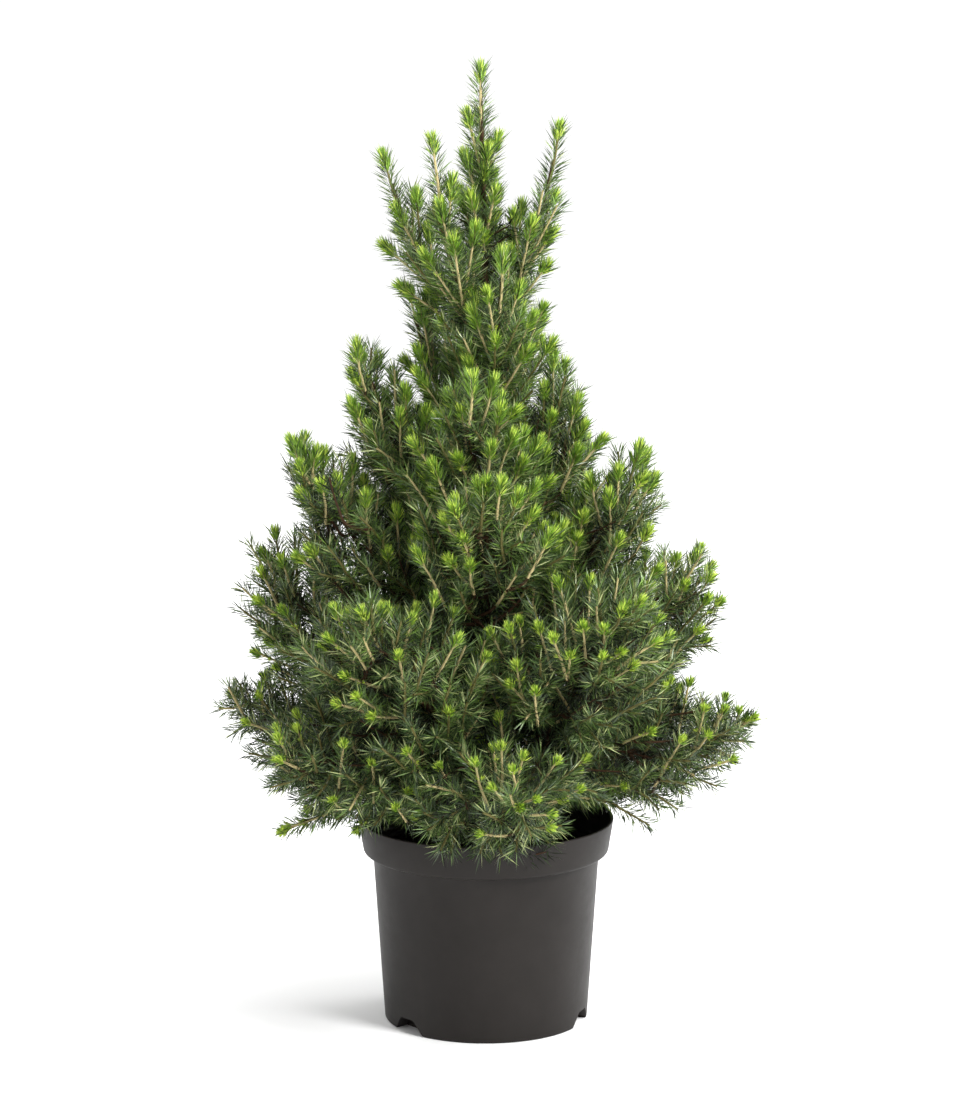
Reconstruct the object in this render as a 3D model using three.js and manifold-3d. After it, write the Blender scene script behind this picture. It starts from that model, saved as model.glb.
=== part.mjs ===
// A dwarf spruce in its round nursery pot: a dense cone of ascending boughs on one straight leader.
// Millimetres, +Z up. The origin is the centre of the pot's flat underside, -Y is the front.
// The crown is a set of closed masses, each carried by its own bough, round a bare core and a whole trunk.
import * as THREE from "three";
import { mergeVertices } from "three/addons/utils/BufferGeometryUtils.js";
import Module from "manifold-3d";

const wasm = await Module();
wasm.setup();

// ---- driving dimensions -------------------------------------------------------------------------

const GAP = 0.35; // clearance left between two neighbouring solids

const POT = {
  height: 155,
  rimRadius: 96.5, // top edge of the rim band
  rimFootRadius: 93, // lower edge of the rim band
  rimBand: 26, // height of the band
  rimCorner: 4, // rounding under the band
  bodyTopRadius: 85.5,
  footRadius: 77,
  footCorner: 1.5,
  wall: 1.6,
  floor: 2.6,
  sides: 36,
};
const NOTCH = {
  count: 3,
  firstAzimuth: -140, // degrees from +X; -90 is the front
  footWidth: 32,
  topWidth: 16,
  height: 11,
  depth: 13,
  drainRadius: 3.5,
};
const SOIL_LEVEL = 128;

const TRUNK = {
  neckRadius: 6.8, // just above the root flare
  tipRadius: 0.9,
  tipHeight: 712,
  flare: 3.2,
  flareHeight: 14,
  lean: new THREE.Vector2(-4, 2), // where the tip stands, seen from above
  bow: new THREE.Vector2(4, -3), // sideways bow at half height
};

// Radius of the bare zone round the trunk, at its foot and at its top.
const CORE = { foot: 31, top: 7, from: 100, to: 640 };

// Compass values are given as [right, back, left, front]; sites give the azimuth of each mass in degrees.
const TIERS = [
  {
    name: "skirt",
    sites: { right: 350, back_right: 48, back_left: 108, left: 168, front_left: 220, front: 277 },
    rootHeight: 188,
    reach: [208, 204, 208, 204],
    tipHeight: [242, 246, 245, 210],
    halfWidth: 82,
    halfThickness: 56,
    boughRadius: 4.2,
  },
  {
    name: "lower",
    sites: { right: 12, back: 84, left: 166, front_left: 238, front_right: 308 },
    rootHeight: 216,
    reach: [168, 172, 182, 170],
    tipHeight: [358, 356, 358, 344],
    halfWidth: 90,
    halfThickness: 74,
    boughRadius: 3.9,
  },
  {
    name: "middle",
    sites: { right: 350, back_right: 55, back_left: 125, left: 192, front: 270 },
    rootHeight: 276,
    reach: [122, 128, 146, 126],
    tipHeight: [442, 444, 452, 440],
    halfWidth: 70,
    halfThickness: 52,
    boughRadius: 3.4,
  },
  {
    name: "shoulder",
    sites: { right: 20, back: 100, left: 176, front: 262 },
    rootHeight: 352,
    reach: [62, 84, 98, 84],
    tipHeight: [506, 514, 518, 508],
    halfWidth: 56,
    halfThickness: 44,
    boughRadius: 2.8,
  },
  {
    name: "crest",
    sites: { right_back: 42, left: 160, front: 284 },
    rootHeight: 426,
    reach: [44, 50, 60, 50],
    tipHeight: [604, 592, 580, 594],
    halfWidth: 44,
    halfThickness: 30,
    boughRadius: 2.4,
  },
  {
    name: "spire",
    sites: { right: 5, back: 95, left: 172, front_left: 232 },
    rootHeight: 500,
    reach: [56, 54, 80, 56],
    tipHeight: [684, 668, 662, 688],
    halfWidth: 29,
    halfThickness: 23,
    boughRadius: 2.0,
  },
  {
    name: "hem",
    sites: { left: 202 },
    rootHeight: 182,
    reach: [170, 170, 170, 170],
    tipHeight: [158, 158, 158, 158],
    halfWidth: 27,
    halfThickness: 16,
    boughRadius: 2.6,
  },
];
const LEADER = { name: "leader_plume", rootHeight: 556, tipHeight: 727, halfWidth: 22 };

const BOUGH = { sides: 5, steps: 3, reach: 0.46, taper: 0.35 };
const GOLDEN = 0.618;
const STAGGER = 40; // spread in height of the boughs of one tier
const MASS_START = 0.12; // share of a bough's line that lies before its mass
const HEART_AT = 0.62; // share of the line where a mass is fullest
const RISE = { outward: 0.58, upward: 0.3 }; // how early a line bends upwards
const PART_ALONG = 0.75; // how far the plane between two masses turns towards the way they grow
const PLUME = {
  sides: 8,
  rings: 7,
  shootShare: 0.5, // share of the corners that stand out as shoots
  standOut: 0.2,
  forward: 0.07, // how far a shoot leans towards the tip, as a share of the line
  hollow: 0.1,
  tipTaper: 0.58,
};
const LOWEST_FOLIAGE = 147; // how far the hanging tips come down outside the pot

// At the front the foliage stops on sloping planes: one rests on the rim, one leaves a gap for watering.
// Each runs from left to right, at a height over the pot's axis that rises forwards.
const FRONT_EDGES = {
  onRim: { left: -97, right: 54, height: 130, rise: 0.26 },
  wateringGap: { left: 54, right: 104, height: 170, rise: 0.25 },
};

// ---- colours ------------------------------------------------------------------------------------

function material(colour, roughness) {
  return new THREE.MeshStandardMaterial({ color: colour, roughness, metalness: 0 });
}
const MATERIALS = {
  pot: material("#3b3937", 0.55),
  soil: material("#1d1712", 0.95),
  bark: material("#5a4030", 0.85),
  foliage: material("#3f6a34", 0.7),
};

// ---- helpers ------------------------------------------------------------------------------------

// A repeatable pseudo-random source in [0, 1).
function seeded(seed) {
  let state = seed;
  return () => {
    state = (state * 1664525 + 1013904223) % 4294967296;
    return state / 4294967296;
  };
}

// The same surface with nothing but its places, and one vertex where several met.
function merged(geometry) {
  const bare = geometry.clone();
  bare.deleteAttribute("normal");
  bare.deleteAttribute("uv");
  return mergeVertices(bare, 1e-3);
}

function solidFrom(geometry) {
  const closed = merged(geometry);
  const mesh = new wasm.Mesh({
    numProp: 3,
    vertProperties: new Float32Array(closed.attributes.position.array),
    triVerts: new Uint32Array(closed.index.array),
  });
  return new wasm.Manifold(mesh);
}

function geometryFrom(solid) {
  const mesh = solid.getMesh();
  const positions = new Float32Array(mesh.numVert * 3);
  for (let i = 0; i < mesh.numVert; i++) {
    const first = i * mesh.numProp;
    positions.set(mesh.vertProperties.subarray(first, first + 3), i * 3);
  }
  const geometry = new THREE.BufferGeometry();
  geometry.setAttribute("position", new THREE.BufferAttribute(positions, 3));
  geometry.setIndex(new THREE.BufferAttribute(new Uint32Array(mesh.triVerts), 1));
  geometry.computeVertexNormals();
  return geometry;
}

// A solid turned about +Z from [radius, height] pairs, from the axis at the foot to the axis at the top.
function turned(profile, sides) {
  const points = profile.map(([radius, height]) => new THREE.Vector2(radius, height));
  return solidFrom(new THREE.LatheGeometry(points, sides).rotateX(Math.PI / 2));
}

// A cylinder bent onto a curve, with its radius given along the curve (t from 0 to 1) and round it (angle).
function limb(curve, radiusAt, sides, steps) {
  const geometry = new THREE.CylinderGeometry(1, 1, 1, sides, steps);
  const position = geometry.attributes.position;
  const point = new THREE.Vector3();
  for (let i = 0; i < position.count; i++) {
    point.fromBufferAttribute(position, i);
    const t = THREE.MathUtils.clamp(point.y + 0.5, 0, 1);
    const tangent = curve.getTangent(t);
    const across = new THREE.Vector3(0, 1, 0).cross(tangent).normalize();
    const up = across.clone().cross(tangent);
    const radius = radiusAt(t, Math.atan2(point.z, point.x));
    const place = curve.getPoint(t);
    place.addScaledVector(across, point.x * radius);
    place.addScaledVector(up, point.z * radius);
    position.setXYZ(i, place.x, place.y, place.z);
  }
  return solidFrom(geometry);
}

function radial(azimuthDegrees, reach, height) {
  const azimuth = THREE.MathUtils.degToRad(azimuthDegrees);
  return new THREE.Vector3(Math.cos(azimuth) * reach, Math.sin(azimuth) * reach, height);
}

// A value at an azimuth from its compass values [right, back, left, front].
function compass([right, back, left, front], azimuthDegrees) {
  const azimuth = THREE.MathUtils.degToRad(azimuthDegrees);
  const alongX = Math.cos(azimuth);
  const alongY = Math.sin(azimuth);
  return alongX ** 2 * (alongX > 0 ? right : left) + alongY ** 2 * (alongY > 0 ? back : front);
}

function scaledAbout(solid, centre, factor) {
  const moved = solid.translate([-centre.x, -centre.y, -centre.z]);
  return moved.scale([factor, factor, factor]).translate([centre.x, centre.y, centre.z]);
}

// ---- pot and soil -------------------------------------------------------------------------------

// The pot's outline, set inwards by an inset: 0 for the outside, the wall for the inside.
function potProfile(inset, floor, top) {
  const bandFoot = POT.height - POT.rimBand;
  const ledge = inset > 0 ? bandFoot + inset : bandFoot;
  return [
    [0, floor],
    [POT.footRadius - POT.footCorner - inset, floor],
    [POT.footRadius - inset, floor + POT.footCorner],
    [POT.bodyTopRadius - inset, ledge],
    [POT.rimFootRadius - POT.rimCorner - inset, ledge],
    [POT.rimFootRadius - 0.3 * POT.rimCorner - inset, ledge + 0.3 * POT.rimCorner],
    [POT.rimFootRadius - inset, ledge + POT.rimCorner],
    [POT.rimRadius - inset, top],
    [0, top],
  ];
}

// A prism with the notch's outline, pointing outwards at an azimuth, grown all round by a margin.
function notchPrism(azimuthDegrees, margin) {
  const foot = NOTCH.footWidth / 2 + margin;
  const top = NOTCH.topWidth / 2 + margin;
  const shoulder = NOTCH.height * 0.75 + margin;
  const outline = new THREE.Shape([
    new THREE.Vector2(-foot, -5),
    new THREE.Vector2(foot, -5),
    new THREE.Vector2(foot, 0),
    new THREE.Vector2(top + 1.5, shoulder),
    new THREE.Vector2(top - 1.5, NOTCH.height + margin),
    new THREE.Vector2(-top + 1.5, NOTCH.height + margin),
    new THREE.Vector2(-top - 1.5, shoulder),
    new THREE.Vector2(-foot, 0),
  ]);
  const reach = NOTCH.depth + margin + 10;
  const geometry = new THREE.ExtrudeGeometry(outline, { depth: reach, bevelEnabled: false });
  geometry.rotateX(Math.PI / 2).rotateZ(Math.PI / 2);
  geometry.translate(POT.footRadius - NOTCH.depth - margin, 0, 0);
  geometry.rotateZ(THREE.MathUtils.degToRad(azimuthDegrees));
  return solidFrom(geometry);
}

function drainHole(azimuthDegrees) {
  const geometry = new THREE.CylinderGeometry(NOTCH.drainRadius, NOTCH.drainRadius, 20, 16);
  const centre = radial(azimuthDegrees, POT.footRadius - NOTCH.depth * 0.55, NOTCH.height);
  return solidFrom(geometry.rotateX(Math.PI / 2).translate(centre.x, centre.y, centre.z));
}

const notchStep = 360 / NOTCH.count;
const notchAzimuths = Array.from({ length: NOTCH.count }, (_, i) => NOTCH.firstAzimuth + i * notchStep);

function buildPot() {
  const outside = turned(potProfile(0, 0, POT.height), POT.sides);
  let inside = turned(potProfile(POT.wall, POT.floor, POT.height + 1), POT.sides);
  for (const azimuth of notchAzimuths) inside = inside.subtract(notchPrism(azimuth, POT.wall));
  let pot = outside.subtract(inside);
  for (const azimuth of notchAzimuths) {
    pot = pot.subtract(notchPrism(azimuth, 0)).subtract(drainHole(azimuth));
  }
  return pot;
}

function buildSoil() {
  const inset = POT.wall + GAP;
  const topRadius = POT.bodyTopRadius - inset;
  let soil = turned(
    [
      [0, POT.floor + GAP],
      [POT.footRadius - POT.footCorner - inset, POT.floor + GAP],
      [POT.footRadius - inset, POT.floor + GAP + POT.footCorner],
      [topRadius, SOIL_LEVEL],
      [0, SOIL_LEVEL],
    ],
    POT.sides,
  );
  for (const azimuth of notchAzimuths) soil = soil.subtract(notchPrism(azimuth, POT.wall + GAP));
  return soil;
}

// ---- trunk --------------------------------------------------------------------------------------

const trunkFoot = SOIL_LEVEL + GAP;
const trunkLength = TRUNK.tipHeight - trunkFoot;
const trunkCurve = new THREE.QuadraticBezierCurve3(
  new THREE.Vector3(0, 0, trunkFoot),
  new THREE.Vector3(TRUNK.bow.x, TRUNK.bow.y, trunkFoot + trunkLength / 2),
  new THREE.Vector3(TRUNK.lean.x, TRUNK.lean.y, TRUNK.tipHeight),
);

function trunkRadius(t, angle) {
  const rise = t * trunkLength;
  const taper = TRUNK.tipRadius + (TRUNK.neckRadius - TRUNK.tipRadius) * (1 - t) ** 0.95;
  const flare = TRUNK.flare * Math.exp(-rise / TRUNK.flareHeight);
  return taper + flare * (1 + 0.35 * Math.sin(5 * angle + 1));
}

// The trunk grown all round by a margin, cut flat at the ground.
function buildTrunk(margin) {
  const foot = new THREE.BoxGeometry(80, 80, 40).translate(0, 0, trunkFoot - 20 - margin);
  return limb(trunkCurve, (t, angle) => trunkRadius(t, angle) + margin, 8, 12).subtract(solidFrom(foot));
}

function trunkPoint(height) {
  return trunkCurve.getPoint(THREE.MathUtils.clamp((height - trunkFoot) / trunkLength, 0, 1));
}

// ---- crown --------------------------------------------------------------------------------------

// The line of a bough and its mass: out from the trunk, then upwards to the tip.
function growthLine(root, tip) {
  const bend = root.clone().lerp(tip, RISE.outward);
  bend.z = root.z + RISE.upward * (tip.z - root.z);
  return new THREE.QuadraticBezierCurve3(root, bend, tip);
}

// Every mass as one plain description: its line from the trunk to its tip, and its half sizes.
function massList() {
  const list = [];
  for (const tier of TIERS) {
    Object.entries(tier.sites).forEach(([site, azimuth], i) => {
      const rootHeight = tier.rootHeight + STAGGER * (((i * GOLDEN + 0.5) % 1) - 0.5);
      const tip = radial(azimuth, compass(tier.reach, azimuth), compass(tier.tipHeight, azimuth));
      list.push({ ...tier, name: `${tier.name}_${site}`, azimuth, root: trunkPoint(rootHeight), tip });
    });
  }
  const leaderTip = new THREE.Vector3(TRUNK.lean.x, TRUNK.lean.y, LEADER.tipHeight);
  const leaderRoot = trunkPoint(LEADER.rootHeight);
  list.push({ ...LEADER, halfThickness: LEADER.halfWidth, azimuth: 0, root: leaderRoot, tip: leaderTip });
  list.forEach((mass, i) => {
    mass.line = growthLine(mass.root, mass.tip);
    mass.heart = mass.line.getPoint(HEART_AT);
    mass.seed = 500 + 29 * i;
  });
  return list;
}

// An uneven plume round a growth line: every other corner stands out and leans forward, as its shoots do.
function plume(mass) {
  const next = seeded(mass.seed);
  const geometry = merged(new THREE.SphereGeometry(1, PLUME.sides, PLUME.rings));
  const position = geometry.attributes.position;
  const point = new THREE.Vector3();
  const across = radial(mass.azimuth + 90, 1, 0);
  const length = mass.root.distanceTo(mass.tip);
  for (let i = 0; i < position.count; i++) {
    point.fromBufferAttribute(position, i);
    const t = (point.y + 1) / 2;
    const ring = Math.round((Math.acos(THREE.MathUtils.clamp(point.y, -1, 1)) * PLUME.rings) / Math.PI);
    point.applyAxisAngle(new THREE.Vector3(0, 1, 0), (ring * Math.PI) / PLUME.sides);
    const isShoot = next() < PLUME.shootShare;
    const uneven = next();
    const atPole = Math.abs(point.y) > 0.999;
    const swell = isShoot ? 1 + PLUME.standOut * uneven : 1 - PLUME.hollow * uneven;
    const forward = isShoot && !atPole ? PLUME.forward * length * uneven * (1 - t) : 0;
    const line = MASS_START + (1 - MASS_START) * t;
    const tangent = mass.line.getTangent(line);
    const over = across.clone().cross(tangent).normalize();
    const taper = 1.12 - PLUME.tipTaper * t ** 2;
    const place = mass.line.getPoint(line).addScaledVector(tangent, forward);
    place.addScaledVector(across, point.x * mass.halfWidth * swell * taper);
    place.addScaledVector(over, point.z * mass.halfThickness * swell * taper);
    position.setXYZ(i, place.x, place.y, place.z);
  }
  return solidFrom(geometry);
}

// Everything beyond the plane that parts two masses. It stands between their hearts, nearer the thinner one,
// and turns towards the way they both grow, so that side-by-side plumes part along their length.
function beyond(mass, other) {
  const size = 900;
  const growth = mass.line.getTangent(HEART_AT).add(other.line.getTangent(HEART_AT)).normalize();
  const between = other.heart.clone().sub(mass.heart);
  const normal = between.clone().addScaledVector(growth, -PART_ALONG * between.dot(growth)).normalize();
  const share = mass.halfThickness / (mass.halfThickness + other.halfThickness);
  const middle = mass.heart.clone().lerp(other.heart, share).addScaledVector(normal, -GAP / 2);
  const box = new THREE.BoxGeometry(size, size, size).translate(0, 0, size / 2);
  const turn = new THREE.Quaternion().setFromUnitVectors(new THREE.Vector3(0, 0, 1), normal);
  return solidFrom(box.applyQuaternion(turn).translate(middle.x, middle.y, middle.z));
}

function buildCore() {
  const mid = (CORE.from + CORE.to) / 2;
  const waist = CORE.top + (CORE.foot - CORE.top) * 0.62;
  return turned(
    [
      [0, CORE.from],
      [CORE.foot, CORE.from],
      [CORE.foot, SOIL_LEVEL + 60],
      [waist, mid],
      [CORE.top, CORE.to],
      [0, CORE.to],
    ],
    16,
  );
}

// What the foliage keeps clear of: the pot up to just over its rim, and everything under the hanging tips.
function buildKeepOut() {
  const clear = 1.2;
  return turned(
    [
      [0, -10],
      [400, -10],
      [400, LOWEST_FOLIAGE],
      [POT.rimRadius + clear, LOWEST_FOLIAGE],
      [POT.rimRadius + clear, POT.height + clear],
      [0, POT.height + clear],
    ],
    32,
  );
}

// Everything in front of the trunk that lies under one of the sloping planes.
function underFront({ left, right, height, rise }) {
  const reach = 260;
  const outline = new THREE.Shape([
    new THREE.Vector2(-reach, 0),
    new THREE.Vector2(0, 0),
    new THREE.Vector2(0, height),
    new THREE.Vector2(-reach, height + rise * reach),
  ]);
  const geometry = new THREE.ExtrudeGeometry(outline, { depth: right - left, bevelEnabled: false });
  geometry.rotateX(Math.PI / 2).rotateZ(Math.PI / 2).translate(left, 0, 0);
  return solidFrom(geometry);
}

function largest(solid) {
  return solid.decompose().reduce((a, b) => (b.volume() > a.volume() ? b : a));
}

function buildCrown() {
  const masses = massList();
  const core = buildCore();
  let keepOut = buildKeepOut();
  for (const edge of Object.values(FRONT_EDGES)) keepOut = keepOut.add(underFront(edge));
  const grownTrunk = buildTrunk(GAP);
  for (const mass of masses) {
    let solid = plume(mass);
    for (const other of masses) {
      if (other === mass || other.heart.distanceTo(mass.heart) > 260) continue;
      solid = solid.subtract(beyond(mass, other));
    }
    solid = solid.subtract(keepOut).subtract(mass.name === LEADER.name ? grownTrunk : core);
    mass.solid = largest(solid);
  }
  return masses;
}

// A bough rises out of the trunk and follows the first part of its mass's growth line, thinning as it goes.
function boughLimb(mass, margin) {
  const { v0, v1 } = mass.line;
  const end = mass.line.getPoint(BOUGH.reach);
  const line = new THREE.QuadraticBezierCurve3(v0, v0.clone().lerp(v1, BOUGH.reach), end);
  return limb(line, (t) => mass.boughRadius * (1 - BOUGH.taper * t) + margin, BOUGH.sides, BOUGH.steps);
}

// What is left of a bough's limb beside the trunk, the masses and the boughs that were there before it.
function buildBough(mass, masses, neighbours) {
  let solid = boughLimb(mass, 0);
  for (const neighbour of neighbours) solid = solid.subtract(neighbour);
  for (const other of masses) solid = solid.subtract(scaledAbout(other.solid, other.heart, 1.015));
  const offset = (piece) => {
    const { min, max } = piece.boundingBox();
    return Math.hypot((min[0] + max[0]) / 2 - mass.root.x, (min[1] + max[1]) / 2 - mass.root.y);
  };
  return solid.decompose().reduce((a, b) => (offset(b) < offset(a) ? b : a));
}

// ---- assembly -----------------------------------------------------------------------------------

const group = new THREE.Group();

function add(name, solid, finish) {
  const mesh = new THREE.Mesh(geometryFrom(solid), finish);
  mesh.name = name;
  group.add(mesh);
}

add("pot", buildPot(), MATERIALS.pot);
add("soil", buildSoil(), MATERIALS.soil);
add("trunk", buildTrunk(0), MATERIALS.bark);

const masses = buildCrown();
const neighbours = [buildTrunk(GAP)];
for (const mass of masses) {
  add(`foliage_${mass.name}`, mass.solid, MATERIALS.foliage);
  if (mass.name === LEADER.name) continue;
  add(`bough_${mass.name}`, buildBough(mass, masses, neighbours), MATERIALS.bark);
  neighbours.push(boughLimb(mass, GAP));
}

export default group;
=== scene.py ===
"""A dwarf spruce in its nursery pot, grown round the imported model.

Every foliage solid is an envelope. Shoots are set on its outer face and inside it, twigs join them to
the bough that carries the solid, and each shoot gets its needles. Lengths are in metres.
"""

import math

import bmesh
import bpy
import numpy as np
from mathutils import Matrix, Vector, noise
from mathutils.bvhtree import BVHTree


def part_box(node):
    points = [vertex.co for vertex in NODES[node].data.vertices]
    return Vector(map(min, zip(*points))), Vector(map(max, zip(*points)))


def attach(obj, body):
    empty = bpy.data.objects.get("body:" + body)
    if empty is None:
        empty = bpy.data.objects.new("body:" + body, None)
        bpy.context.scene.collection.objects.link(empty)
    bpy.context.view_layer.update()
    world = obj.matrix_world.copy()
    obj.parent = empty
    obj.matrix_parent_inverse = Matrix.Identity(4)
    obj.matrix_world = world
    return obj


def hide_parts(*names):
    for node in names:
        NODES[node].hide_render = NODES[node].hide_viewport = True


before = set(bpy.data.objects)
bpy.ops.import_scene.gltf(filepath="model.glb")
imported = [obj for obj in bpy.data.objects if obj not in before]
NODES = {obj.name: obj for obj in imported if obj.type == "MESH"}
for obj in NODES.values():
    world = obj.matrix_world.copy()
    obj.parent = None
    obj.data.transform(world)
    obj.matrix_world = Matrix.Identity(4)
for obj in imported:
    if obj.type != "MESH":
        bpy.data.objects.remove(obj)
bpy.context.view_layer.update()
MM = 0.001
UP = np.array([0.0, 0.0, 1.0])
rng = np.random.default_rng(20261)


# ---- materials ----------------------------------------------------------------------------------


def srgb(red, green, blue):
    """Linear colour with alpha from 8-bit display values."""
    return tuple((v / 255) ** 2.2 for v in (red, green, blue)) + (1.0,)


class Graph:
    """A small helper that builds the nodes of one Principled material."""

    def __init__(self, name, colour, roughness, specular=0.5):
        self.material = bpy.data.materials.new(name)
        self.material.use_nodes = True
        self.material.diffuse_color = colour
        self.tree = self.material.node_tree
        self.shader = self.tree.nodes["Principled BSDF"]
        self.shader.inputs["Base Color"].default_value = colour
        self.shader.inputs["Roughness"].default_value = roughness
        self.shader.inputs["Specular IOR Level"].default_value = specular

    def node(self, kind, inputs=None):
        made = self.tree.nodes.new(kind)
        for key, value in (inputs or {}).items():
            if isinstance(value, bpy.types.NodeSocket):
                self.tree.links.new(value, made.inputs[key])
            else:
                made.inputs[key].default_value = value
        return made

    def place(self):
        return self.node("ShaderNodeTexCoord").outputs["Object"]

    def noise(self, scale, detail=4.0, roughness=0.55, stretch=(1, 1, 1)):
        place = self.node("ShaderNodeMapping", {"Vector": self.place(), "Scale": stretch})
        inputs = {"Scale": scale, "Detail": detail, "Roughness": roughness}
        inputs["Vector"] = place.outputs["Vector"]
        return self.node("ShaderNodeTexNoise", inputs).outputs["Fac"]

    def ramp(self, factor, stops):
        made = self.node("ShaderNodeValToRGB", {"Fac": factor})
        elements = made.color_ramp.elements
        while len(elements) < len(stops):
            elements.new(0.5)
        for element, (place, colour) in zip(elements, stops):
            element.position = place
            element.color = colour
        return made.outputs["Color"]

    def span(self, factor, low, high):
        made = self.node("ShaderNodeMapRange", {"Value": factor, "To Min": low, "To Max": high})
        return made.outputs["Result"]

    def bump(self, height, distance, strength=1.0, before=None):
        inputs = {"Height": height, "Distance": distance, "Strength": strength}
        if before:
            inputs["Normal"] = before
        return self.node("ShaderNodeBump", inputs).outputs["Normal"]

    def link(self, socket, name):
        self.tree.links.new(socket, self.shader.inputs[name])


def plain(name, colour, roughness, specular):
    return Graph(name, colour, roughness, specular).material


def bark_material():
    g = Graph("bark", srgb(82, 62, 46), 0.85, 0.25)
    plates = g.noise(240, 6, 0.6, stretch=(1, 1, 0.35))
    tones = [(0.3, srgb(40, 29, 22)), (0.52, srgb(80, 60, 44)), (0.72, srgb(118, 98, 76))]
    g.link(g.ramp(plates, tones), "Base Color")
    g.link(g.span(g.noise(500), 0.75, 0.95), "Roughness")
    g.link(g.bump(plates, 0.8 * MM, 0.7), "Normal")
    return g.material


def pot_material():
    g = Graph("pot_plastic", srgb(36, 33, 31), 0.5, 0.2)
    cloud = g.noise(14, 5, 0.6)
    g.link(g.ramp(cloud, [(0.35, srgb(33, 30, 28)), (0.65, srgb(39, 36, 34))]), "Base Color")
    g.link(g.span(g.noise(90, 6, 0.7), 0.42, 0.6), "Roughness")
    grain = g.bump(g.noise(1500, 3), 0.05 * MM, 0.5)
    g.link(g.bump(g.noise(60, 2, 0.4, stretch=(1, 1, 4)), 0.12 * MM, 0.35, grain), "Normal")
    return g.material


def compost_material():
    g = Graph("compost", srgb(40, 31, 25), 0.95, 0.2)
    tones = [(0.35, srgb(22, 17, 14)), (0.6, srgb(50, 38, 29)), (0.8, srgb(78, 60, 44))]
    g.link(g.ramp(g.noise(420, 6, 0.7), tones), "Base Color")
    g.link(g.span(g.noise(800), 0.85, 1.0), "Roughness")
    g.link(g.bump(g.noise(900, 5), 0.5 * MM, 0.8), "Normal")
    return g.material


# Foliage colours, from the oldest needles to the newest. Each is plain, and dealt out by spray. The
# darkest is painted shade for the inside of the crown, and the palest is a painted highlight on the
# needles.
FOLIAGE = {
    # Painted shade: near-black needles put where the inside of the crown lies in shade.
    "needles_painted_shade": plain("needles_painted_shade", srgb(24, 30, 16), 0.6, 0.25),
    "needles_deep": plain("needles_deep", srgb(52, 71, 37), 0.36, 0.6),
    "needles_mid": plain("needles_mid", srgb(93, 117, 60), 0.36, 0.6),
    # Painted highlight: pale needles that stand in for the glints on glossy needles.
    "needles_painted_highlight": plain("needles_painted_highlight", srgb(160, 170, 112), 0.38, 0.6),
    "needles_fresh": plain("needles_fresh", srgb(112, 146, 58), 0.4, 0.5),
    "needles_bright": plain("needles_bright", srgb(128, 166, 58), 0.42, 0.5),
    "buds_lime": plain("buds_lime", srgb(200, 222, 94), 0.45, 0.4),
}
STEMS = {
    "shoots_tan": plain("shoots_tan", srgb(196, 180, 130), 0.7, 0.25),
    "shoots_olive": plain("shoots_olive", srgb(112, 106, 66), 0.75, 0.2),
    "twigs_brown": plain("twigs_brown", srgb(64, 46, 32), 0.8, 0.2),
}


# ---- meshes from arrays -------------------------------------------------------------------------


def mesh_object(name, points, faces, material, smooth=False):
    mesh = bpy.data.meshes.new(name)
    mesh.from_pydata(np.asarray(points).tolist(), [], np.asarray(faces).tolist())
    mesh.polygons.foreach_set("use_smooth", np.full(len(mesh.polygons), smooth))
    mesh.materials.append(material)
    mesh.update()
    piece = bpy.data.objects.new(name, mesh)
    bpy.context.scene.collection.objects.link(piece)
    return piece


def unit(vectors):
    vectors = np.asarray(vectors, float)
    return vectors / np.maximum(np.linalg.norm(vectors, axis=-1, keepdims=True), 1e-12)


def side_of(directions):
    """One unit vector square to each direction."""
    helper = np.where(np.abs(directions[..., 2:3]) > 0.9, np.array([1.0, 0, 0]), UP)
    return unit(np.cross(directions, helper))


class Tubes:
    """Collects limbs: tapering tubes along a few points, all joined into one mesh."""

    def __init__(self, sides):
        self.sides = sides
        self.points, self.faces, self.count = [], [], 0

    def add(self, path, radii):
        path = np.asarray(path, float)
        steps = len(path)
        tangent = unit(np.gradient(path, axis=0))
        side = side_of(tangent)
        other = np.cross(tangent, side)
        turn = np.arange(self.sides) * 2 * math.pi / self.sides
        cosine, sine = np.cos(turn)[None, :, None], np.sin(turn)[None, :, None]
        ring = cosine * side[:, None] + sine * other[:, None]
        points = path[:, None] + ring * np.asarray(radii)[:, None, None]
        self.points.append(points.reshape(-1, 3))
        first = self.count + np.arange(steps - 1)[:, None] * self.sides
        here = np.arange(self.sides)[None]
        after = (here + 1) % self.sides
        above = first + self.sides
        quads = np.stack([first + here, first + after, above + after, above + here], -1)
        self.faces.append(quads.reshape(-1, 4))
        self.count += steps * self.sides

    def build(self, name, material):
        points, faces = np.concatenate(self.points), np.concatenate(self.faces)
        return mesh_object(name, points, faces, material, smooth=True)


MOST_NEEDLES = 95000  # in one joined piece, which keeps it under 200,000 triangles


class Needles:
    """Collects the needles of one colour."""

    def __init__(self):
        self.foot, self.along, self.length, self.width = [], [], [], []

    def add(self, foot, along, length, width):
        self.foot.append(foot)
        self.along.append(along)
        self.length.append(length)
        self.width.append(width)

    def build(self, name, material):
        foot = np.concatenate(self.foot)
        along = unit(np.concatenate(self.along))
        length = np.concatenate(self.length)[:, None]
        width = np.concatenate(self.width)[:, None]
        parts = math.ceil(len(foot) / MOST_NEEDLES)
        cuts = np.linspace(0, len(foot), parts + 1).astype(int)
        made = []
        for number, (first, last) in enumerate(zip(cuts[:-1], cuts[1:]), 1):
            mine = slice(first, last)
            title = name if parts == 1 else f"{name}_{number}"
            made.append(needle_mesh(title, foot[mine], along[mine], length[mine], width[mine], material))
        return made


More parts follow.
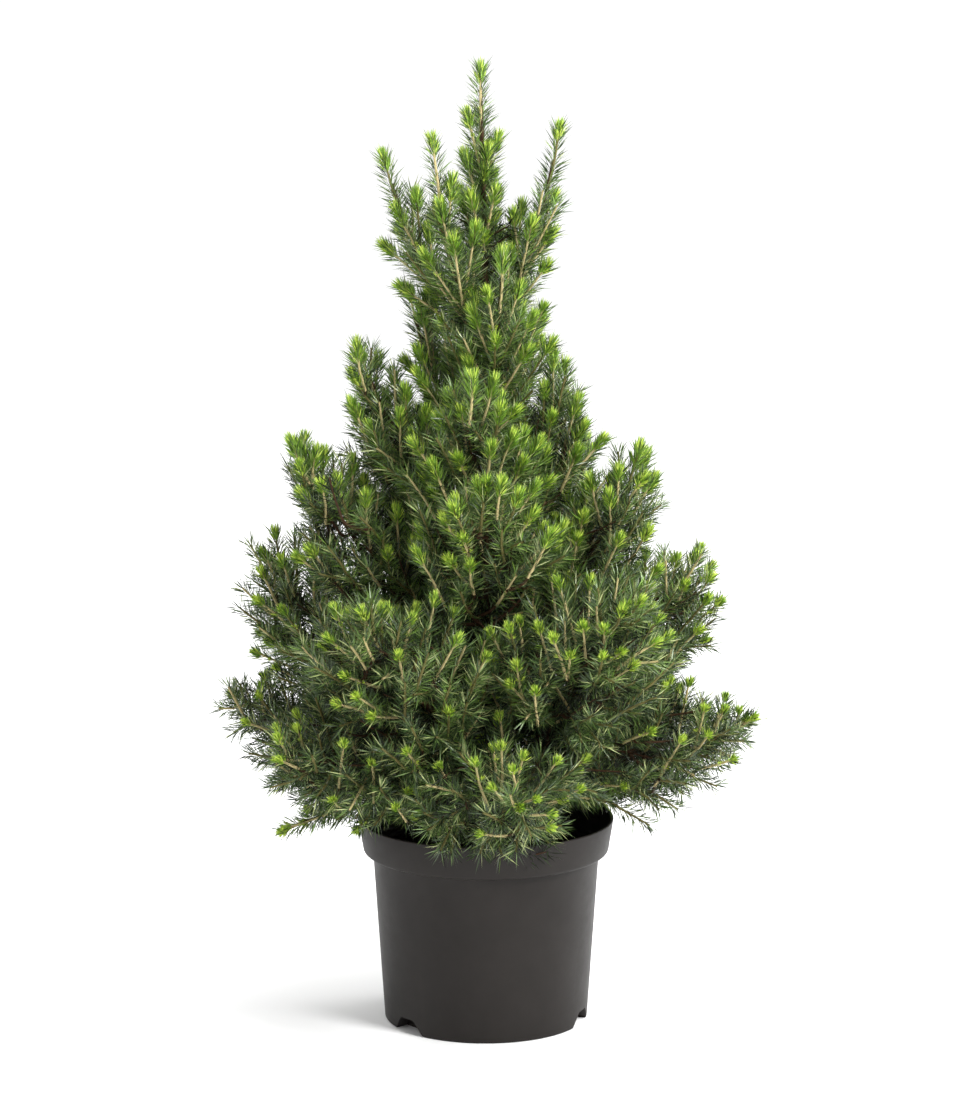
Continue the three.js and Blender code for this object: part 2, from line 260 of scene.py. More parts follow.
def needle_mesh(name, foot, along, length, width, material):
    """Two faces for each needle: a slim blade, pointed at both ends and slightly bent at its widest."""
    side = side_of(along)
    other = np.cross(along, side)
    roll = rng.uniform(0, 2 * math.pi, len(foot))[:, None]
    across = side * np.cos(roll) + other * np.sin(roll)
    back = np.cross(across, along)
    curl = rng.uniform(-0.03, 0.08, len(foot))[:, None]
    waist = foot + along * length * 0.4 + back * length * curl
    half = across * width / 2
    points = np.stack([foot, waist + half, waist - half, foot + along * length], 1).reshape(-1, 3)
    first = np.arange(len(foot))[:, None] * 4
    corners = np.array([[0, 2, 1], [1, 2, 3]])
    faces = (first[:, :, None] + corners[None]).reshape(-1, 3)
    return mesh_object(name, points, faces, material)


# ---- envelopes ----------------------------------------------------------------------------------


def points_of(node):
    mesh = NODES[node].data
    points = np.empty(len(mesh.vertices) * 3)
    mesh.vertices.foreach_get("co", points)
    return points.reshape(-1, 3)


def triangles_of(node):
    mesh = NODES[node].data
    mesh.calc_loop_triangles()
    corners = np.empty(len(mesh.loop_triangles) * 3, int)
    mesh.loop_triangles.foreach_get("vertices", corners)
    return corners.reshape(-1, 3)


def tree_of(node):
    return BVHTree.FromPolygons(points_of(node).tolist(), triangles_of(node).tolist())


MASSES = sorted(n for n in NODES if n.startswith("foliage_"))
BOUGHS = sorted(n for n in NODES if n.startswith("bough_"))
TREES = {name: tree_of(name) for name in MASSES}
TRUNK_LOW, TRUNK_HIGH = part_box("trunk")
SOIL_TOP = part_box("soil")[1].z
POT_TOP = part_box("pot")[1].z
POT_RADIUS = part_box("pot")[1].x
CROWN_TOP = max(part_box(name)[1].z for name in MASSES)


def trunk_line(count=40):
    """Centres and radii up the trunk, read off the solid in slices."""
    points = points_of("trunk")
    low, high = TRUNK_LOW.z, TRUNK_HIGH.z
    heights = np.unique(np.round(points[:, 2], 3))
    centres, radii = [], []
    for height in heights:
        ring = points[np.abs(points[:, 2] - height) < 6 * MM]
        centre = ring.mean(0)
        centres.append([centre[0], centre[1], height])
        radii.append(np.linalg.norm(ring[:, :2] - centre[:2], axis=1).mean())
    wanted = np.linspace(low, high, count)
    centres = np.array(centres)
    x = np.interp(wanted, heights, centres[:, 0])
    y = np.interp(wanted, heights, centres[:, 1])
    return np.stack([x, y, wanted], 1), np.interp(wanted, heights, radii)


TRUNK_PATH, TRUNK_RADII = trunk_line()
BOUGH_RING = 6  # corners of a bough's solid nearest to the trunk, which give its root


def trunk_at(height):
    return np.array([np.interp(height, TRUNK_PATH[:, 2], TRUNK_PATH[:, k]) for k in range(3)])


def growth_line(mass):
    """From where the bough leaves the trunk to the mass's tip: out first, then up."""
    points = points_of(mass)
    bough = mass.replace("foliage_", "bough_")
    if bough in NODES:
        limb = points_of(bough)
        order = np.argsort(np.linalg.norm(limb[:, :2] - trunk_at(limb[:, 2].mean())[:2], axis=1))
        nearest = limb[order[:BOUGH_RING]]
        root = nearest.mean(0)
        radius = np.linalg.norm(nearest - root, axis=1).mean()
    else:
        root = trunk_at(points[:, 2].min() + 5 * MM)
        radius = 2 * MM
    tip = points[np.argmax(np.linalg.norm(points - root, axis=1))]
    bend = root + (tip - root) * 0.58
    bend[2] = root[2] + 0.3 * (tip[2] - root[2])
    return root, bend, tip, radius


def bezier(start, bend, end, count):
    t = np.linspace(0, 1, count)[:, None]
    return (1 - t) ** 2 * start + 2 * t * (1 - t) * bend + t**2 * end


def surface_points(mass, spacing):
    """Points spread over the solid's faces about a spacing apart, with their normals."""
    points, triangles = points_of(mass), triangles_of(mass)
    a, b, c = (points[triangles[:, k]] for k in range(3))
    normal = np.cross(b - a, c - a)
    area = np.linalg.norm(normal, axis=1) / 2
    tries = int(area.sum() / spacing**2 * 9)
    chosen = rng.choice(len(area), tries, p=area / area.sum())
    u, v = rng.random((2, tries, 1))
    flip = u + v > 1
    u, v = np.where(flip, 1 - u, u), np.where(flip, 1 - v, v)
    place = a[chosen] + u * (b - a)[chosen] + v * (c - a)[chosen]
    return thinned(place, unit(normal[chosen]), spacing)


def thinned(place, normal, spacing):
    """Only those points, and their normals, that stand more than a spacing from all kept before them."""
    kept = []
    for i, point in enumerate(place):
        if not kept or np.min(np.linalg.norm(place[kept] - point, axis=1)) > spacing:
            kept.append(i)
    return place[kept], normal[kept]


def faces_out(mass, point):
    """False where the face is cut flush with a neighbouring mass."""
    for other, tree in TREES.items():
        if other == mass:
            continue
        found = tree.find_nearest(Vector(point), 4 * MM)
        if found[0] is not None:
            return False
    return True


# ---- growing ------------------------------------------------------------------------------------

TIP_SPACING = 17.5 * MM  # between shoot tips on the outside of a mass
LEADER_SPACING = 20.5 * MM  # between the tips round a narrow leader
INNER_SPACING = 24 * MM  # between the shaded shoots inside a mass
CORE_TWIGS = 120  # old twigs straight off the trunk, which close the crown's middle
TIP_INSET = (-5 * MM, 13 * MM)  # how far a tip stays inside the solid's face
SEAM_SHARE = 0.6  # of the tips on faces that touch another mass
SHOOT = (34 * MM, 52 * MM)  # shortest and longest
NEEDLE_LENGTH = (11.5 * MM, 16.5 * MM)
NEEDLE_WIDTH = 0.84 * MM
NEW_WIDTH = 1.1 * MM  # of the softer new needles
NEEDLES_PER_M = 3200
TWIG_NEEDLES_PER_M = 1700
OUTSIDE_LIMIT = 8 * MM  # how far a shoot's foot may stand outside its solid
END_INSET = 12 * MM  # between a mass's point and the end of its limb, whose needles reach further
# The gap for watering at the front right: from left to right, and under a plane that rises forwards.
OPENING = {"left": 60 * MM, "right": 102 * MM, "back": 20 * MM, "height": 164 * MM, "rise": 0.25}
NARROW = 36 * MM  # half width under which a mass is one leader with side shoots
BARE_END = 34 * MM  # the last part of a narrow leader, which has no side shoots
THIN_END = 14 * MM  # where the mass is thinner than this
GOLDEN_TURN = math.radians(137.5)


class Crown:
    """All that grows: needles and stems, kept apart by colour."""

    def __init__(self):
        self.needles = {name: Needles() for name in FOLIAGE}
        self.stems = {name: Tubes(5) for name in STEMS}

    def clothe(self, path, per_metre, spread, lengths, colours, width=NEEDLE_WIDTH, stand=0.7 * MM):
        """Needles all round a path. spread is the angle to the stem at its foot and at its end."""
        steps = np.linalg.norm(np.diff(path, axis=0), axis=1)
        reach = np.concatenate([[0], np.cumsum(steps)])
        count = max(1, int(reach[-1] * per_metre))
        t = (np.arange(count) + rng.random(count)) / count * reach[-1]

        def along_path(distance):
            return np.stack([np.interp(distance, reach, path[:, k]) for k in range(3)], 1)

        ahead = along_path(np.minimum(t + 2 * MM, reach[-1]))
        behind = along_path(np.maximum(t - 2 * MM, 0))
        stem = unit(ahead - behind)
        side = side_of(stem)
        other = np.cross(stem, side)
        turn = np.arange(count) * GOLDEN_TURN + rng.normal(0, 0.35, count)
        round_ = side * np.cos(turn)[:, None] + other * np.sin(turn)[:, None]
        share = t / reach[-1]
        angle = np.radians(np.interp(share, [0, 1], spread) + rng.normal(0, 8, count))
        along = stem * np.cos(angle)[:, None] + round_ * np.sin(angle)[:, None]
        along = unit(along + UP * 0.10)
        length = rng.uniform(*lengths, count)
        foot = along_path(t) + round_ * stand
        names = list(colours)
        chances = np.array([colours[name] for name in names], float)
        pick = rng.choice(len(names), count, p=chances / chances.sum())
        wide = width * rng.uniform(0.8, 1.15, count)
        for k, name in enumerate(names):
            mine = pick == k
            if mine.any():
                self.needles[name].add(foot[mine], along[mine], length[mine], wide[mine])

    def shoot(self, path, height, kind):
        """One year's shoot along a short path: its stem, its needles, and new ones at the end."""
        count = len(path)
        if kind == "inner":
            self.stems["twigs_brown"].add(path, np.linspace(1.1, 0.5, count) * MM)
            # Inner shoots wear mostly the painted-shade colour, which paints the shade inside the crown.
            inner = {"needles_painted_shade": 4, "needles_deep": 1}
            self.clothe(path, NEEDLES_PER_M * 0.6, (62, 45), NEEDLE_LENGTH, inner)
            return
        pale = rng.random() < (0.75 if kind == "budded" else 0.25)
        stems = self.stems["shoots_tan" if pale else "shoots_olive"]
        stems.add(path, np.linspace(1.25, 0.75, count) * MM)
        # Painted shade: the lowest part of the crown takes darker needles and the painted-shade colour,
        # which paint the shade under the crown. Higher up, the mix takes fresh needles. Every mix has
        # pale painted-highlight needles.
        tint = height + rng.normal(0, 0.16)
        if tint < 0.3:
            colours = {"needles_deep": 7, "needles_mid": 3.2, "needles_painted_highlight": 1.5, "needles_painted_shade": 1.4}
        elif tint < 0.6:
            colours = {"needles_mid": 5, "needles_deep": 4.4, "needles_painted_highlight": 1.6, "needles_fresh": 1}
        else:
            colours = {"needles_mid": 5, "needles_fresh": 2, "needles_deep": 4.4, "needles_painted_highlight": 1.6}
        self.clothe(path, NEEDLES_PER_M, (62, 38), NEEDLE_LENGTH, colours)
        if kind == "budded":
            along = unit(path[-1] - path[-2])
            self.bud(path[-1], along, height)
            if rng.random() < 0.3:
                self.side_buds(path, along)

    def bud(self, tip, along, height):
        """New growth: a long blunt brush high in the crown, a short lime tuft lower down."""
        brush = np.clip((height - 0.18) / 0.34, 0, 1) * rng.uniform(0.5, 1.0)
        zone = (3.5 + 11 * brush) * MM
        path = tip - along * zone * np.array([1, 0.5, 0])[:, None]
        lengths = ((6.5 + 5 * brush) * MM, (7.5 + 6 * brush) * MM)
        colours = {"needles_bright": 2, "buds_lime": 2.4 - 2 * brush, "needles_fresh": 2.4 * brush}
        spread = (34 - 4 * brush, 19 - 4 * brush)
        self.clothe(path, (44 + 58 * brush) / zone, spread, lengths, colours, NEW_WIDTH, 0.8 * MM)
        heart = tip - along * zone * np.array([0.2, 0.1, 0])[:, None]
        newest = {"buds_lime": 2, "needles_bright": 1}
        self.clothe(heart, 20 / (0.2 * zone), (18, 8), lengths, newest, NEW_WIDTH)

    def side_buds(self, path, along):
        """A pair of small lime buds part of the way up a shoot."""
        place = path[0] + (path[-1] - path[0]) * rng.uniform(0.35, 0.75)
        side = side_of(along)
        for way in (1, -1):
            out = unit(along + side * way * 1.2)
            stub = np.stack([place, place + out * 1.5 * MM, place + out * 3 * MM])
            self.clothe(stub, 4000, (40, 15), (2.5 * MM, 3.6 * MM), {"buds_lime": 1}, 1.2 * MM, 0.2 * MM)


def crown_share(z):
    return (z - POT_TOP) / (CROWN_TOP - POT_TOP)


def depth_inside(tree, point):
    """How deep a point lies inside a solid; negative outside."""
    place, normal, _, _ = tree.find_nearest(Vector(point))
    gap = place - Vector(point)
    return gap.length if gap.dot(normal) > 0 else -gap.length


def straight(base, tip):
    """A shoot's path: nearly straight, with a slight bend of its own."""
    middle = (base + tip) / 2 + rng.normal(0, 0.8 * MM, 3)
    return np.stack([base, middle, tip])


def aim_shoot(tree, axis, tangents, place, normal):
    """Where a shoot that ends at a place starts, so that it rises off the limb behind it."""
    distance = np.linalg.norm(axis - place, axis=1)
    near = int(np.argmin(distance))
    back = np.clip(distance[near] * 0.8, 28 * MM, 55 * MM)
    step = np.linalg.norm(axis[1] - axis[0])
    origin = axis[max(1, near - int(back / step))]
    away = place - origin
    lift = 0.3 + 0.55 * crown_share(place[2])
    if normal[2] < -0.25:
        lift = 0.1
    fan = unit(away)
    along = unit(0.55 * fan + 0.15 * tangents[near] + 0.2 * normal + lift * UP + rng.normal(0, 0.1, 3))
    size = min(rng.uniform(*SHOOT), 0.85 * np.linalg.norm(away))
    if depth_inside(tree, place - along * size) < -OUTSIDE_LIMIT:
        along = unit(0.8 * fan + 0.2 * along)
    return place - along * size


def outer_tips(mass, axis, spacing):
    """Places for the tips on the mass's face, each with its normal."""
    centre = trunk_at(axis[len(axis) // 2][2])
    farthest = np.linalg.norm(axis[-1][:2] - centre[:2])
    for place, normal in zip(*surface_points(mass, spacing)):
        out = np.linalg.norm(place[:2] - centre[:2])
        if not faces_out(mass, place) and (out < farthest * 0.35 or rng.random() > SEAM_SHARE):
            continue
        if normal[2] < -0.5 and rng.random() < 0.3:
            continue
        yield place - normal * rng.uniform(*TIP_INSET), normal


def in_opening(points):
    """True where any point stands in the gap for watering, under a plane that rises forwards."""
    x, y, z = points.T
    beside = (x > OPENING["left"]) & (x < OPENING["right"]) & (y < OPENING["back"])
    return np.any(beside & (z < OPENING["height"] - OPENING["rise"] * y))


def outer_shoots(mass, tree, axis, tangents):
    shoots = []
    for end, normal in outer_tips(mass, axis, TIP_SPACING):
        budded = normal[2] > -0.35 and rng.random() < 0.34 + 0.7 * crown_share(end[2])
        base = aim_shoot(tree, axis, tangents, end, normal)
        if in_opening(np.linspace(base, end, 4)):
            continue
        shoots.append((straight(base, end), "budded" if budded else "outer"))
    return shoots


def inner_shoots(mass, tree, axis, growth):
    points = points_of(mass)
    tries = rng.uniform(points.min(0), points.max(0), (900, 3))
    inside = np.array([p for p in tries if depth_inside(tree, p) > 8 * MM])
    if not len(inside):
        return []
    inner, _ = thinned(inside, inside, INNER_SPACING)
    shoots = []
    for place in inner:
        if in_opening(place[None]):
            continue
        along = unit(growth + 0.5 * unit(place - axis[len(axis) // 2]) + rng.normal(0, 0.25, 3))
        shoots.append((straight(place - along * 34 * MM, place), "inner"))
    return shoots


def side_shoots(mass, axis, tangents):
    """Shoots set straight on a narrow mass's own leader, each leaving it at a wide angle."""
    step = np.linalg.norm(axis[1] - axis[0])
    shoots = []
    for end, _ in outer_tips(mass, axis, LEADER_SPACING):
        distance = np.linalg.norm(axis - end, axis=1)
        near = int(np.argmin(distance))
        at_end = distance[near] < THIN_END and np.linalg.norm(axis[-1] - end) < BARE_END
        if at_end and crown_share(end[2]) > 0.5:
            continue
        back = 9 * MM + distance[near] * rng.uniform(1.0, 1.8)
        first = max(1, near - int(back / step))
        leave = axis[first] + unit(end - axis[first] - tangents[first] * 8 * MM) * distance[near] * 0.5
        kind = "budded" if rng.random() < 0.75 else "outer"
        shoots.append((bezier(axis[first], leave, end, 4), kind))
    return shoots


def is_narrow(mass, axis):
    spread = [np.linalg.norm(axis - point, axis=1).min() for point in points_of(mass)]
    return np.percentile(spread, 80) < NARROW


def grow_mass(crown, mass):
    """Sets shoots on and in the envelope, then joins each to the nearest wood behind it."""
    root, bend, tip, radius = growth_line(mass)
    axis = bezier(root, bend, tip - unit(tip - bend) * END_INSET, 60)
    tangents = unit(np.gradient(axis, axis=0))
    crown.stems["twigs_brown"].add(axis[:-6], np.linspace(radius, 1.2 * MM, len(axis) - 6))
    top = axis[-1]
    leading = straight(top - tangents[-1] * 42 * MM, top)
    if is_narrow(mass, axis):
        crown.shoot(leading, crown_share(top[2]), "budded")
        for path, kind in side_shoots(mass, axis, tangents):
            crown.shoot(path, crown_share(path[-1][2]), kind)
        old = {"needles_deep": 2, "needles_mid": 2}
        crown.clothe(axis[8:-8], NEEDLES_PER_M * 0.8, (64, 55), NEEDLE_LENGTH, old)
        return
    tree = TREES[mass]
    shoots = [(leading, "budded")]
    shoots += outer_shoots(mass, tree, axis, tangents)
    shoots += inner_shoots(mass, tree, axis, unit(tip - root))
    skeleton = axis[4:-8]
    for i in np.argsort([np.linalg.norm(path[0] - root) for path, _ in shoots]):
        path, kind = shoots[i]
        base = path[0]
        along = unit(path[1] - base)
        crown.shoot(path, crown_share(path[-1][2]), kind)
        gap = base - skeleton
        distance = np.linalg.norm(gap, axis=1)
        turn = 1 - unit(gap) @ along
        start = skeleton[np.argmin(distance * (1 + 1.3 * turn) + 1 * MM * turn)]
        reach = np.linalg.norm(base - start)
        if reach > 1 * MM:
            twig = bezier(start, base - along * min(reach * 0.4, 12 * MM), base, 5)
            crown.stems["twigs_brown"].add(twig, np.linspace(1.5, 1.1, 5) * MM)
            if kind != "inner" and reach > 6 * MM:
                # Half of the needles on the joining twigs are painted shade.
                old = {"needles_deep": 2, "needles_painted_shade": 2}
                crown.clothe(twig[1:], TWIG_NEEDLES_PER_M, (66, 58), NEEDLE_LENGTH, old)
            skeleton = np.concatenate([skeleton, twig[1:]])
        stem = base + (path[-1] - base) * np.linspace(0, 0.5, 4)[:, None]
        skeleton = np.concatenate([skeleton, stem[1:]])


def grow_core(crown):
    """Short old twigs up the trunk, in the shade between the boughs."""
    low, high = POT_TOP + 25 * MM, CROWN_TOP - 130 * MM
    for i in range(CORE_TWIGS):
        share = (i + rng.random()) / CORE_TWIGS
        foot = trunk_at(low + (high - low) * share)
        turn = i * GOLDEN_TURN + rng.normal(0, 0.3)
        out = np.array([math.cos(turn), math.sin(turn), rng.uniform(0.1, 0.7)])
        reach = rng.uniform(40, 90) * MM * (1 - 0.65 * share)
        crown.shoot(straight(foot, foot + unit(out) * reach), 0, "inner")


def build_crown():
    crown = Crown()
    for mass in MASSES:
        grow_mass(crown, mass)
    grow_core(crown)
    return crown


# ---- bark, pot and compost ----------------------------------------------------------------------


def bark_tube(path, radii, sides, seed):
    """A limb with real relief: long plates and cracks pushed in and out of a fine tube."""
    tangent = unit(np.gradient(path, axis=0))
    side = side_of(tangent)
    other = np.cross(tangent, side)
    points, faces = [], []
    for i, centre in enumerate(path):
        for j in range(sides):
            turn = 2 * math.pi * j / sides
            out = side[i] * math.cos(turn) + other[i] * math.sin(turn)
            place = centre + out * radii[i]
            sample = Vector((place[0] * 260 + seed, place[1] * 260, place[2] * 90))
            relief = noise.noise(sample) * 0.09 + noise.noise(sample * 2.7) * 0.05
            points.append(centre + out * radii[i] * (1 + relief))
    for i in range(len(path) - 1):
        for j in range(sides):
            k = (j + 1) % sides
            faces.append([i * sides + j, i * sides + k, (i + 1) * sides + k, (i + 1) * sides + j])
    faces.append(list(range(sides))[::-1])
    faces.append([(len(path) - 1) * sides + j for j in range(sides)])
    return np.array(points), faces


def build_wood():
    points, faces, first = [], [], 0
    fine = np.linspace(0, 1, 260)
    steps = np.linspace(0, 1, len(TRUNK_PATH))
    path = np.stack([np.interp(fine, steps, TRUNK_PATH[:, k]) for k in range(3)], 1)
    limbs = [(path, np.interp(fine, steps, TRUNK_RADII), 28)]
    for mass in MASSES:
        root, bend, tip, radius = growth_line(mass)
        if mass.replace("foliage_", "bough_") not in NODES:
            continue
        heart = bezier(root, bend, tip, 60)[:26]
        start = trunk_at(root[2])
        line = np.concatenate([[start + (root - start) * 0.3], heart])
        limbs.append((line, np.linspace(radius * 1.15, radius * 0.75, len(line)), 12))
    for seed, (line, radii, sides) in enumerate(limbs):
        more, cells = bark_tube(line, radii, sides, seed * 7.3)
        points.append(more)
        faces += [[first + v for v in face] for face in cells]
        first += len(more)
    mesh = bpy.data.meshes.new("bark_wood")
    mesh.from_pydata(np.concatenate(points).tolist(), [], faces)
    mesh.polygons.foreach_set("use_smooth", np.full(len(mesh.polygons), True))
    mesh.materials.append(bark_material())
    piece = bpy.data.objects.new("bark_wood", mesh)
    bpy.context.scene.collection.objects.link(piece)
    return piece


# The pot's sizes in millimetres, beside its box: its band and body, and the notches in its foot.
POT = {
    "band": 26,
    "band_foot_in": 3.5,
    "body_top": 85.5,
    "foot": 77,
    "corner": 1.5,
    "wall": 1.6,
    "floor": 2.6,
}
NOTCH = {
    "azimuths": (-140, -20, 100),
    "foot": 32,
    "top": 16,
    "height": 11,
    "depth": 13,
    "drain": 3.5,
}
POT_SIDES = 220


def arc(centre, radius, start, end, count=5):
    turns = np.radians(np.linspace(start, end, count))
    return [(centre[0] + radius * math.cos(t), centre[1] + radius * math.sin(t)) for t in turns]


def pot_profile(inset, floor, top):
    """[radius, height] pairs in millimetres from the axis at the foot to the axis at the top."""
    rim = POT_RADIUS / MM
    ledge = POT_TOP / MM - POT["band"] + inset
    band_foot = rim - POT["band_foot_in"] - inset
    corner = POT["corner"]
    lip = 0.75 if inset == 0 else 0.05
    outline = [(0, floor)]
    outline += arc((POT["foot"] - corner - inset, floor + corner), corner, -90, 0)
    outline += [(POT["body_top"] - inset, ledge - 1.2)]
    outline += arc((POT["body_top"] + 1.2 - inset, ledge - 1.2), 1.2, 180, 90, 4)
    outline += arc((band_foot - 3.4, ledge + 3.4), 3.4, -90, -4, 6)
    outline += arc((rim - lip - inset, top - lip), lip, 0, 90, 4)
    outline += [(0, top)]
    return outline


def lathe(name, outline, sides):
    points, faces = [], []
    for radius, height in outline[1:-1]:
        for j in range(sides):
            turn = 2 * math.pi * j / sides
            points.append((radius * MM * math.cos(turn), radius * MM * math.sin(turn), height * MM))
    for i in range(len(outline) - 3):
        for j in range(sides):
            k = (j + 1) % sides
            faces.append([i * sides + j, i * sides + k, (i + 1) * sides + k, (i + 1) * sides + j])
    faces.append(list(range(sides))[::-1])
    faces.append([(len(outline) - 3) * sides + j for j in range(sides)])
    return loose_object(name, points, faces)


def loose_object(name, points, faces):
    mesh = bpy.data.meshes.new(name)
    mesh.from_pydata([tuple(p) for p in points], [], faces)
    mesh.update()
    made = bpy.data.objects.new(name, mesh)
    bpy.context.scene.collection.objects.link(made)
    return made


def notch_prism(azimuth, margin):
    foot = NOTCH["foot"] / 2 + margin
    top = NOTCH["top"] / 2 + margin
    height = NOTCH["height"] + margin
    shoulder = NOTCH["height"] * 0.75 + margin
    half = [(foot, -5), (foot, 0), (top + 1.5, shoulder), (top - 1.5, height)]
    outline = half + [(-x, z) for x, z in reversed(half)]
    near = POT["foot"] - NOTCH["depth"] - margin
    turn = math.radians(azimuth)
    ahead = np.array([math.cos(turn), math.sin(turn)])
    side = np.array([-ahead[1], ahead[0]])
    points = []
    for reach in (near, near + NOTCH["depth"] + margin + 10):
        for x, z in outline:
            flat = ahead * reach + side * x
            points.append((flat[0] * MM, flat[1] * MM, z * MM))
    count = len(outline)
    faces = [[i, (i + 1) % count, (i + 1) % count + count, i + count] for i in range(count)]
    faces += [list(range(count))[::-1], [count + i for i in range(count)]]
    return loose_object("notch", points, faces)


def drain_cylinder(azimuth):
    reach = POT["foot"] - NOTCH["depth"] * 0.55
    turn = math.radians(azimuth)
    centre = Vector((reach * math.cos(turn), reach * math.sin(turn), NOTCH["height"])) * MM
    radius = NOTCH["drain"] * MM
    bpy.ops.mesh.primitive_cylinder_add(vertices=32, radius=radius, depth=20 * MM, location=centre)
    return bpy.context.object


def carve(target, cutter):
    cut = target.modifiers.new("carve", "BOOLEAN")
    cut.object = cutter
    cut.operation = "DIFFERENCE"
    cut.solver = "EXACT"
    graph = bpy.context.evaluated_depsgraph_get()
    mesh = bpy.data.meshes.new_from_object(target.evaluated_get(graph))
    target.modifiers.clear()
    target.data = mesh
    bpy.data.objects.remove(cutter)


def fixed_normals(made):
    """Faces turned outwards, whatever order their corners were given in."""
    shape = bmesh.new()
    shape.from_mesh(made.data)
    bmesh.ops.recalc_face_normals(shape, faces=shape.faces)
    shape.to_mesh(made.data)
    shape.free()
    return made


def build_pot():
    top = POT_TOP / MM
    pot = fixed_normals(lathe("nursery_pot", pot_profile(0, 0, top), POT_SIDES))
    inside = fixed_normals(lathe("inside", pot_profile(POT["wall"], POT["floor"], top + 1), POT_SIDES))
    for azimuth in NOTCH["azimuths"]:
        carve(inside, fixed_normals(notch_prism(azimuth, POT["wall"])))
    carve(pot, inside)
    for azimuth in NOTCH["azimuths"]:
        carve(pot, fixed_normals(notch_prism(azimuth, 0)))
        carve(pot, drain_cylinder(azimuth))
    pot.data.materials.clear()
    pot.data.materials.append(pot_material())
    pot.data.polygons.foreach_set("use_smooth", np.full(len(pot.data.polygons), True))
    pot.data.set_sharp_from_angle(angle=math.radians(38))
    return pot


CRUMBS = 900


def build_compost():
    """The compost's rough surface, with crumbs lying on it."""
    radius = POT["body_top"] * MM - POT["wall"] * MM - 0.5 * MM
    rings, sides = 46, 150
    points, faces = [(0, 0, SOIL_TOP)], []
    for i in range(1, rings + 1):
        for j in range(sides):
            turn = 2 * math.pi * j / sides
            reach = radius * i / rings
            x, y = reach * math.cos(turn), reach * math.sin(turn)
            relief = noise.noise(Vector((x * 90, y * 90, 0))) * 2.2
            relief += noise.noise(Vector((x * 420, y * 420, 3))) * 1.3
            edge = 0 if i < rings else -12
            points.append((x, y, SOIL_TOP + (relief - 1.2 + edge) * MM))
    for j in range(sides):
        faces.append([0, 1 + j, 1 + (j + 1) % sides])
    for i in range(rings - 1):
        for j in range(sides):
            a, b = 1 + i * sides + j, 1 + i * sides + (j + 1) % sides
            faces.append([a, a + sides, b + sides, b])
    crumb = [(1, 0, 0), (-1, 0, 0), (0, 1, 0), (0, -1, 0), (0, 0, 1), (0, 0, -1)]
    cells = [(0, 2, 4), (2, 1, 4), (1, 3, 4), (3, 0, 4), (2, 0, 5), (1, 2, 5), (3, 1, 5), (0, 3, 5)]
    for _ in range(CRUMBS):
        reach, turn = radius * math.sqrt(rng.random()) * 0.98, rng.uniform(0, 2 * math.pi)
        size = rng.uniform(0.7, 2.6) * MM
        centre = (reach * math.cos(turn), reach * math.sin(turn), SOIL_TOP + size * 0.1)
        first = len(points)
        for corner in crumb:
            bulge = size * rng.uniform(0.6, 1.3)
            points.append(tuple(c + k * bulge for c, k in zip(centre, corner)))
        faces += [[first + v for v in cell] for cell in cells]
    piece = loose_object("compost_surface", points, faces)
    piece.data.materials.append(compost_material())
    piece.data.polygons.foreach_set("use_smooth", np.full(len(piece.data.polygons), True))
    return piece


# ---- build --------------------------------------------------------------------------------------


# The studio's white tent: its strengths, and between which heights of a direction it fades.
TENT = {"at_horizon": 1.02, "overhead": 0.46, "fades_from": 0.14, "fades_to": 0.4}


def studio_world():
    """A white tent: bright all round at the horizon, softer overhead."""
    world = bpy.data.worlds.new("studio")
    world.use_nodes = True
    tree = world.node_tree
    place = tree.nodes.new("ShaderNodeTexCoord").outputs["Generated"]
    split = tree.nodes.new("ShaderNodeSeparateXYZ")
    tree.links.new(place, split.inputs["Vector"])
    fade = tree.nodes.new("ShaderNodeMapRange")
    tree.links.new(split.outputs["Z"], fade.inputs["Value"])
    fade.inputs["From Min"].default_value = TENT["fades_from"]
    fade.inputs["From Max"].default_value = TENT["fades_to"]
    fade.inputs["To Min"].default_value = TENT["at_horizon"]
    fade.inputs["To Max"].default_value = TENT["overhead"]
    tree.links.new(fade.outputs["Result"], tree.nodes["Background"].inputs["Strength"])
    tree.nodes["Background"].inputs["Color"].default_value = (1, 1, 1, 1)
    return world


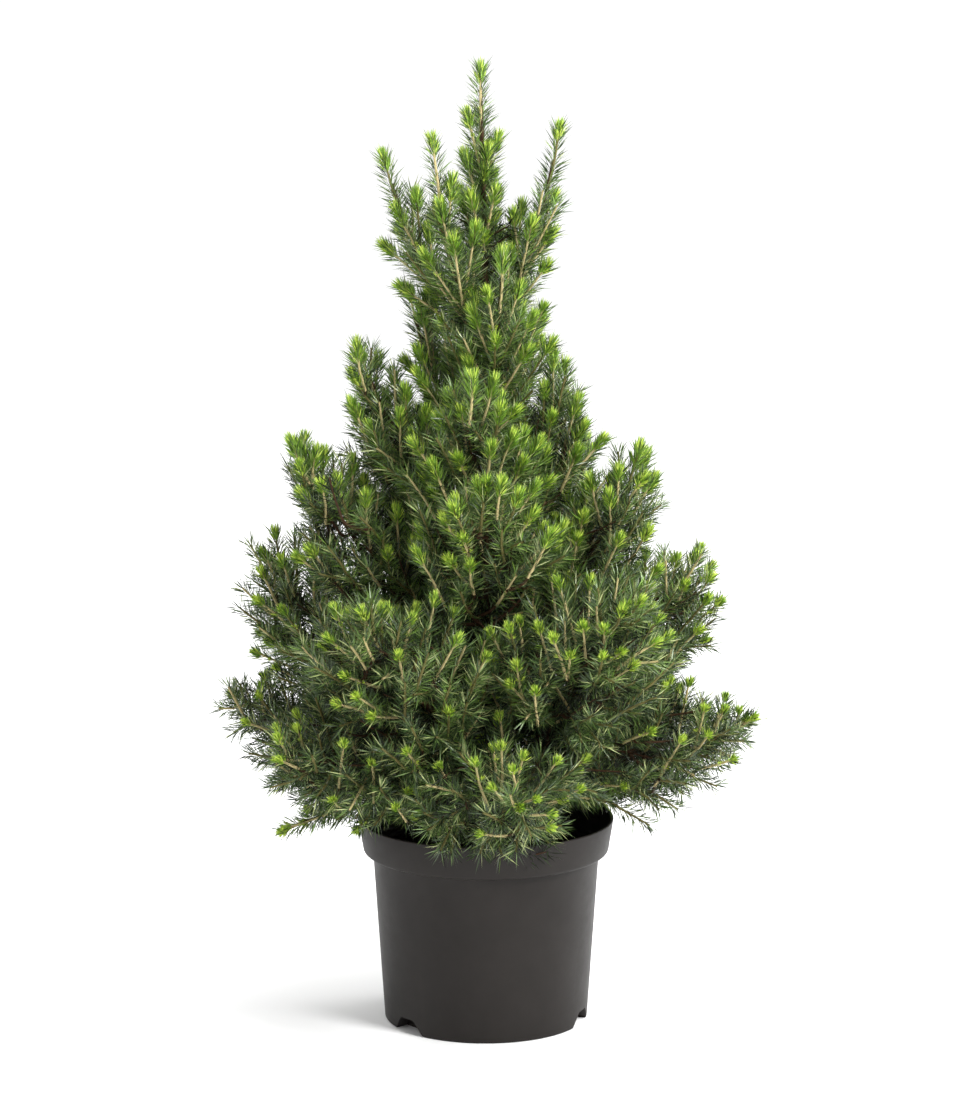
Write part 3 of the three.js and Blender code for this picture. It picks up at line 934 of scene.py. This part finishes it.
def build_camera_and_light():
    scene = bpy.context.scene
    camera = bpy.data.objects.new("camera", bpy.data.cameras.new("camera"))
    scene.collection.objects.link(camera)
    camera.location = (0.0, -2.78, 0.852)
    camera.rotation_euler = (math.radians(90 - 10.1), 0, 0)
    camera.data.lens = 122.9
    camera.data.sensor_width = 36
    camera.data.clip_end = 50
    scene.camera = camera

    def area(name, place, target, size, power):
        light = bpy.data.lights.new(name, "AREA")
        light.size = size
        light.energy = power
        lamp = bpy.data.objects.new(name, light)
        scene.collection.objects.link(lamp)
        lamp.location = place
        aim = Vector(target) - Vector(place)
        lamp.rotation_euler = aim.to_track_quat("-Z", "Y").to_euler()

    area("key_right", (1.7, -1.5, 2.0), (0, 0, 0.35), 0.8, 92)
    area("fill_left", (-2.1, -1.9, 1.2), (0, 0, 0.35), 1.8, 8)
    area("edge_right", (1.6, 1.0, 0.8), (0, 0, 0.3), 0.8, 18)
    area("behind", (-1.2, 2.2, 1.7), (0, 0, 0.35), 1.4, 30)

    sun = bpy.data.lights.new("daylight", "SUN")
    sun.angle = math.radians(70)
    sun.energy = 1.95
    lamp = bpy.data.objects.new("daylight", sun)
    scene.collection.objects.link(lamp)
    lamp.rotation_euler = (math.radians(-12), math.radians(16), 0)

    scene.world = studio_world()
    scene.view_settings.view_transform = "Standard"


def build_floor():
    size = 30.0
    floor = mesh_object(
        "studio_floor",
        [(-size, -size, 0), (size, -size, 0), (size, size, 0), (-size, size, 0)],
        [[0, 1, 2, 3]],
        plain("studio_floor", (0.97, 0.97, 0.97, 1), 0.9, 0.0),
    )


build_camera_and_light()
build_floor()

crown = build_crown()
needle_pieces = []
for name, material in FOLIAGE.items():
    needle_pieces += crown.needles[name].build(name, material)
stem_pieces = [crown.stems[name].build(name, material) for name, material in STEMS.items()]
for piece in needle_pieces:
    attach(piece, "root")
for piece in stem_pieces:
    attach(piece, "root")
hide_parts(*MASSES)

wood = build_wood()
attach(wood, "root")
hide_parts("trunk", *BOUGHS)

pot = build_pot()
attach(pot, "root")
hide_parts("pot")

compost = build_compost()
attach(compost, "root")
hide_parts("soil")
